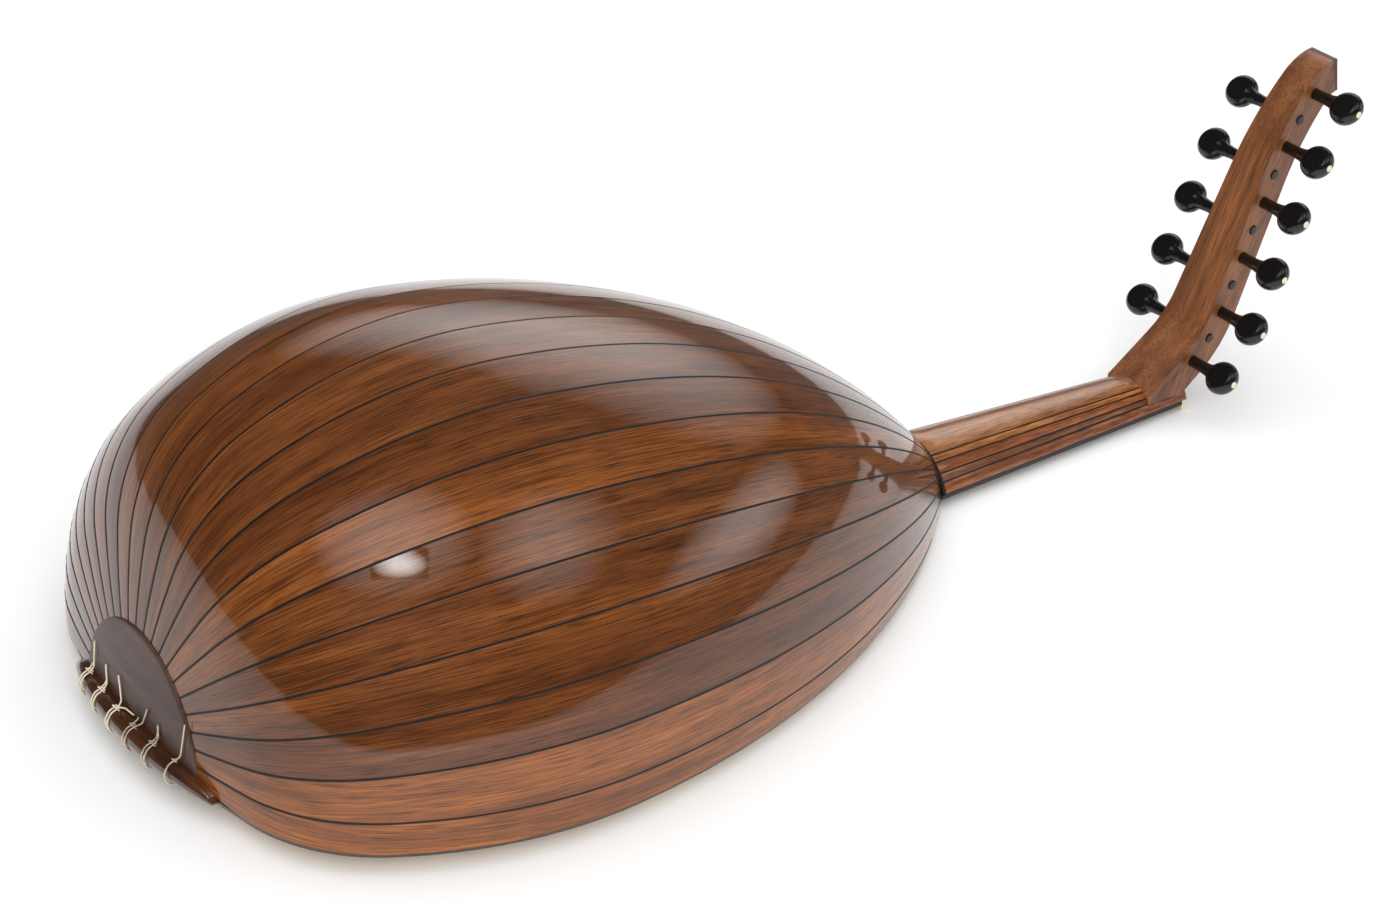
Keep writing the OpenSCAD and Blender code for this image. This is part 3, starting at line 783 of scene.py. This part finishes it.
# ---- Strings ----

def string_bend(n):
    """Where a string last bends before its peg: the third peg carries all that go beyond it."""
    return peg_front(BEARING_PEG, PEG_R + BEARING_GAP) if STRING_ORDER[n] > BEARING_PEG else NUT_END


def string_end(n):
    """The place in front of its peg where a string ends."""
    k = STRING_ORDER[n]
    px, pz = peg_front(k, 0)
    bx, bz = string_bend(n)
    length = math.hypot(px - bx, pz - bz)
    ux = (px - bx) / length
    uz = (pz - bz) / length
    lane = string_y(n, 2 * (pegbox_half_w(pz) - 5) - 5, PEGBOX_PAIR)
    reach = PEG_R + WINDING_GAP
    return px + reach * uz, lane, pz - reach * ux


def string_material(n):
    return "string_wound" if n < WOUND_COUNT else "string_nylon"


# Where each string's free end at the tail bar goes: how far sideways, and its height
FREE_ENDS = ((-4, 35), (2.4, 22), (-0.6, 21), (-6, 25.5), (0.5, 16), (6.7, 28), (-13, 14.2),
             (3.7, 25.5), (1, 16), (0.6, 30.5), (0.8, 16))


def string_route(n):
    """A string from its free end, round the bar, over the bridge and the nut, to its peg."""
    t = string_y(n, TAIL_SPREAD, PAIR_GAP)
    b = string_y(n, BRIDGE_SPREAD, PAIR_GAP)
    m = string_y(n, NUT_SPREAD, NUT_PAIR)
    front = bar_front(t)
    lean, top = FREE_ENDS[n]
    free_x = tail_x(t + lean, top, CAP_T) - 1.0
    ex, lane, ez = string_end(n)
    route = [
        (free_x, t + lean, top),
        (tail_x(t + lean * 0.6, 15, CAP_T) - 1.4, t + lean * 0.35, 15.2 if top > 15 else 13.6),
        (front + 5.2, t, 13.1),
        (front + 1.7, t, 11.9),
        (front - STRING_BOW, t, 7.6),
        (front - STRING_BOW, t, 4.0),
        (front + 1.6, t, 0.1),
        (front + 5, t, -1.1),
        (3, t, -1.3),
        (BRIDGE_X - 1.5, b, STRING_BRIDGE_Z),
        (BRIDGE_X + 1.5, b, STRING_BRIDGE_Z),
        (700, m, STRING_NUT_Z),
        (NUT_END[0], m, NUT_END[1]),
    ]
    bx, bz = string_bend(n)
    if (bx, bz) != NUT_END:
        before = math.hypot(bx - NUT_END[0], bz - NUT_END[1])
        share = before / (before + math.hypot(ex - bx, ez - bz))
        route.append((bx, m + share * (lane - m), bz))
    route.append((ex, lane, ez))
    return [at(*p) for p in route]


def add_strings():
    for n in range(STRING_COUNT):
        material = string_material(n)
        node = "strings_wound" if n < WOUND_COUNT else "strings_plain"
        points = rounded(string_route(n), 1.6 * MM)
        obj = add_tube(f"string_{n + 1:02d}", points, STRING_R * MM, MATERIALS[material])
        place(obj, "instrument", material, node)


def add_winding(k):
    """The string's turns round its peg, which turn with it."""
    n = STRING_ORDER.index(k)
    ex, lane, ez = string_end(n)
    px, pz = peg_front(k, 0)
    (_, y, _), hand = peg_frame(k)
    outward = -1 if n % 2 or n == 0 else 1
    start = math.atan2(ez - pz, ex - px)
    points = []
    turns = 2.0
    steps = 64
    for i in range(steps + 1):
        done = turns * i / steps
        place_y = lane + outward * 0.92 * done
        shaft = PEG_R - (hand * (y - place_y)) * PEG_TAPER
        r = shaft + STRING_R + 0.02 + (WINDING_GAP - STRING_R) * max(0, 1 - done * 4)
        a = start + 2 * math.pi * done
        points.append(at(px + r * math.cos(a), place_y, pz + r * math.sin(a)))
    material = string_material(n)
    obj = add_tube(f"peg_{k + 1:02d}_winding", points, STRING_R * MM, MATERIALS[material])
    return place(obj, f"peg_{k + 1:02d}", material)


def add_knots():
    """A short tie across each course where its strings cross on top of the bar."""
    for course in range(6):
        first = max(0, 2 * course - 1)
        last = 2 * course
        low = string_y(first, TAIL_SPREAD, PAIR_GAP) - 1.3
        high = string_y(last, TAIL_SPREAD, PAIR_GAP) + 1.3
        front = bar_front(0.5 * (low + high))
        route = [(front + 5.6, low, 12.6), (front + 4.6, low + 0.5, 14.0), (front + 4.2, high - 0.5, 14.2)]
        route += [(front + 4.8, high, 12.9), (front + 6.4, high - 0.6, 13.4), (front + 6.2, low + 0.4, 13.6)]
        points = rounded([at(*p) for p in route], 0.9 * MM)
        material = string_material(last)
        obj = add_tube(f"knot_{course + 1}", points, STRING_R * 0.9 * MM, MATERIALS[material])
        place(obj, "instrument", material)


# ---- Studio ----

CAMERA_TARGET = (325.9, -28.1, 78.8)
CAMERA_DISTANCE = 1730.0
CAMERA_AZIMUTH = -36.85
CAMERA_ELEVATION = 29.63
CAMERA_ROLL = 2.77
CAMERA_LENS = 82.3


def add_camera():
    azimuth = math.radians(CAMERA_AZIMUTH)
    elevation = math.radians(CAMERA_ELEVATION)
    level = math.cos(elevation)
    back = Vector((math.sin(azimuth) * level, -math.cos(azimuth) * level, math.sin(elevation)))
    right = (-back).cross(Vector((0, 0, 1))).normalized()
    above = right.cross(-back)
    roll = math.radians(CAMERA_ROLL)
    turned_right = right * math.cos(roll) + above * math.sin(roll)
    turned_up = above * math.cos(roll) - right * math.sin(roll)
    data = bpy.data.cameras.new("camera")
    data.lens = CAMERA_LENS
    data.sensor_width = 36
    data.clip_end = 50
    camera = bpy.data.objects.new("camera", data)
    bpy.context.scene.collection.objects.link(camera)
    columns = [direction(*turned_right), direction(*turned_up), direction(*back)]
    matrix = Matrix(columns).transposed().to_4x4()
    matrix.translation = at(*CAMERA_TARGET) + direction(*back) * CAMERA_DISTANCE * MM
    camera.matrix_world = matrix
    bpy.context.scene.camera = camera


def add_floor():
    half = 9.0
    z = CAD_BOX[0][2]
    corners = [(-half, -half, z), (half, -half, z), (half, half, z), (-half, half, z)]
    material = plain("floor_white", (0.9, 0.9, 0.9), 0.7)
    shader = material.node_tree.nodes["Principled BSDF"]
    shader.inputs["Emission Color"].default_value = (1, 1, 1, 1)
    shader.inputs["Emission Strength"].default_value = 0.04
    floor = add_mesh("floor", corners, [(0, 1, 2, 3)], None, material)


OVERHEAD_SIZE = 12.0
CAMERA_SIDE_SIZE = 1.6


def add_light(name, place_, size, energy):
    """A square light facing the instrument, which isn't mirrored in the lacquer."""
    data = bpy.data.lights.new(name, "AREA")
    data.size = size
    data.energy = energy
    light = bpy.data.objects.new(name, data)
    light.location = place_
    light.rotation_euler = Vector(place_).to_track_quat("Z", "Y").to_euler()
    light.visible_glossy = False
    bpy.context.scene.collection.objects.link(light)


def add_overhead():
    """A very wide light above, which fills the shadows."""
    add_light("overhead", (0, 0, 4), OVERHEAD_SIZE, 1.34 * math.pi * OVERHEAD_SIZE ** 2)


def glow(name, brightness):
    """Light that is strongest in the middle of a panel and fades out towards its edge."""
    material = bpy.data.materials.new(name)
    material.use_nodes = True
    tree = material.node_tree
    tree.nodes.clear()
    source = tree.nodes.new("ShaderNodeTexCoord")
    gradient = tree.nodes.new("ShaderNodeTexGradient")
    gradient.gradient_type = "SPHERICAL"
    light = tree.nodes.new("ShaderNodeEmission")
    light.inputs["Strength"].default_value = brightness
    output = tree.nodes.new("ShaderNodeOutputMaterial")
    tree.links.new(source.outputs["Object"], gradient.inputs["Vector"])
    fade = ramp(tree, gradient.outputs["Fac"], ((0.0, grey(0.0)), (0.3, grey(0.45)), (0.75, grey(1.0))))
    tree.links.new(fade, light.inputs["Color"])
    tree.links.new(light.outputs["Emission"], output.inputs["Surface"])
    return material


def add_softbox(name, place_, size, brightness):
    """A glowing panel of a half width and half height, facing the instrument and seen only in mirrors."""
    corners = [(-1, -1, 0), (1, -1, 0), (1, 1, 0), (-1, 1, 0)]
    panel = add_mesh(name, corners, [(0, 1, 2, 3)], None, glow(name, brightness))
    panel.location = place_
    panel.scale = (size[0], size[1], 1)
    towards = Vector((-0.1, 0, 0.1)) - Vector(place_)
    panel.rotation_euler = towards.to_track_quat("Z", "Y").to_euler()
    panel.visible_camera = False
    panel.visible_diffuse = False
    panel.visible_shadow = False


def add_studio():
    world = bpy.data.worlds.new("studio")
    world.use_nodes = True
    world.node_tree.nodes["Background"].inputs["Color"].default_value = (1, 1, 1, 1)
    world.node_tree.nodes["Background"].inputs["Strength"].default_value = 0.05
    bpy.context.scene.world = world
    bpy.context.scene.view_settings.view_transform = "Standard"
    add_floor()
    add_overhead()
    add_light("camera_side", (-1.1, -1.7, 1.0), CAMERA_SIDE_SIZE, 24)
    add_softbox("key", (-0.8, -1.2, 1.97), (0.3, 0.16), 14)
    add_softbox("key_glow", (-0.75, -0.9, 2.2), (1.0, 0.8), 2.4)
    add_softbox("front", (0.86, -1.57, 1.9), (1.0, 0.8), 2.1)
    add_softbox("neck_side", (2.07, -1.0, 0.73), (1.0, 0.35), 2.4)
    add_softbox("back", (2.3, 2.0, 2.0), (3.0, 1.4), 2.2)


# ---- Building ----

dress_cad_nodes()
for rib in range(RIB_COUNT):
    add_rib(rib)
for line in range(RIB_COUNT - 1):
    add_rib_line(line)
add_tail_cap()
add_tail_bar()
for peg in range(PEG_COUNT):
    add_peg(peg)
add_strings()
add_knots()
add_studio()
add_camera()
